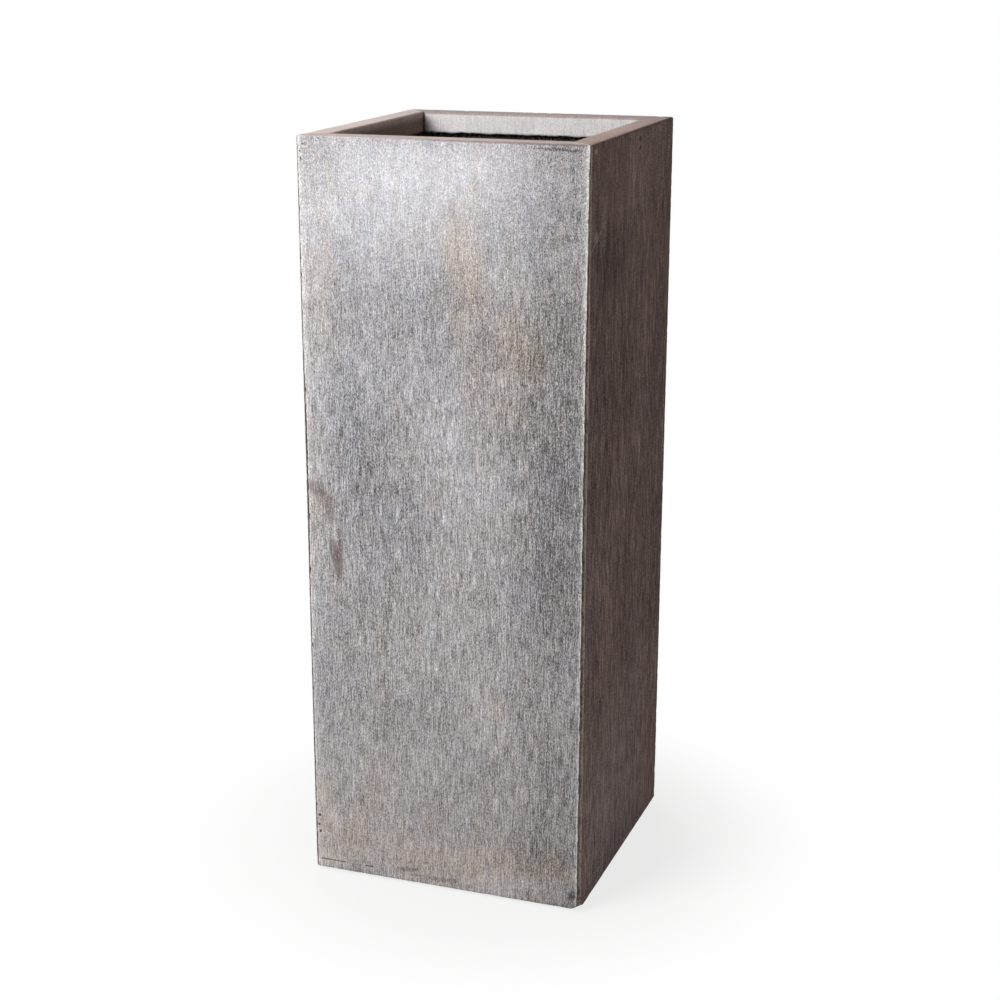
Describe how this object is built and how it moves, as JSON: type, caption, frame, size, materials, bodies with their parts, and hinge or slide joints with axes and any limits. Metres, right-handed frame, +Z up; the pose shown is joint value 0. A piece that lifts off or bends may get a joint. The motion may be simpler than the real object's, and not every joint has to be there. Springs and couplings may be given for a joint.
{
  "type": "square concrete planter",
  "caption": "Tall square straight-sided concrete planter with a returned rim, mortar-pointed mitred corners, a base slab with a plugged drain hole and low rubber feet.",
  "frame": {"origin": "on the floor under the middle of the planter, at the underside of the foot pads", "axes": "+Z up along the planter's height, +X to the right and -Y towards the front face, which is the wide face in the picture"},
  "size_m": [0.38, 0.38, 1],
  "materials": {
    "brushed_concrete": "matte",
    "slab_concrete": "matte",
    "pointing_mortar": "matte",
    "black_rubber": "matte"
  },
  "bodies": {
    "planter": {"front_panel": "brushed_concrete", "right_panel": "brushed_concrete", "back_panel": "brushed_concrete", "left_panel": "brushed_concrete", "front_left_corner_mortar": "pointing_mortar", "front_right_corner_mortar": "pointing_mortar", "back_right_corner_mortar": "pointing_mortar", "back_left_corner_mortar": "pointing_mortar", "base_slab": "slab_concrete", "base_bed_mortar": "pointing_mortar", "front_left_foot": "black_rubber", "front_right_foot": "black_rubber", "back_right_foot": "black_rubber", "back_left_foot": "black_rubber"},
    "plug": {"drain_plug": "black_rubber"}
  },
  "joints": [
    {"name": "plug_lift", "type": "slide", "parent": "planter", "child": "plug", "axis": [0, 0, 1], "range_m": [0, 0.08]}
  ]
}
